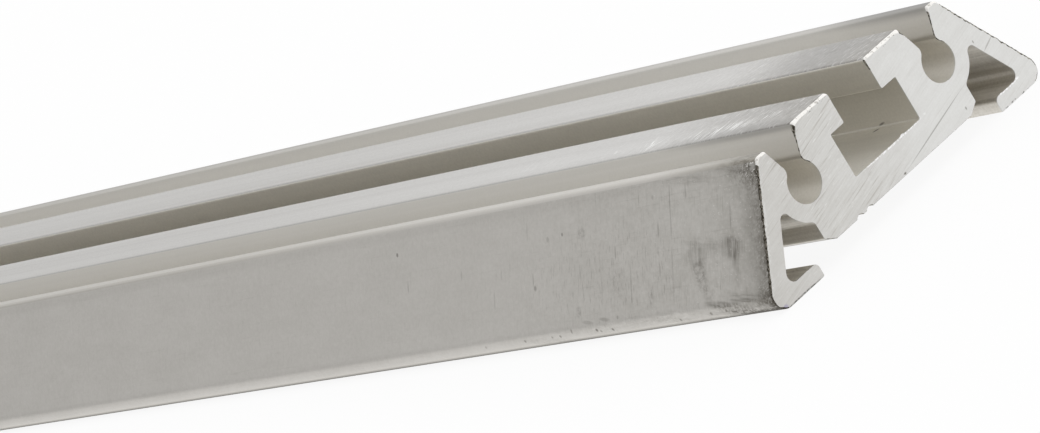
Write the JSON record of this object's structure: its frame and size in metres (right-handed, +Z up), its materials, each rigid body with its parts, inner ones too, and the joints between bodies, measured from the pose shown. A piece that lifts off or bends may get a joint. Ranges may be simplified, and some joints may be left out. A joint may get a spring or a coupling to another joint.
{
  "type": "aluminium extrusion profile",
  "caption": "Mill-finish aluminium mounting rail with a bolt slot on top, open screw ports beside it and leaning legs with inturned feet.",
  "frame": {"origin": "floor under the middle of the rail, midway between its ends and its feet", "axes": "+X along the rail to the end that the picture shows, +Y across to the plain side of the base, +Z up through the bolt slot's mouth"},
  "size_m": [0.5, 0.0568, 0.0188],
  "materials": {
    "mill_aluminium": "mill finish with fine die lines, sawn ends"
  },
  "bodies": {
    "root": {"extrusion_profile": "mill_aluminium"}
  },
  "joints": []
}
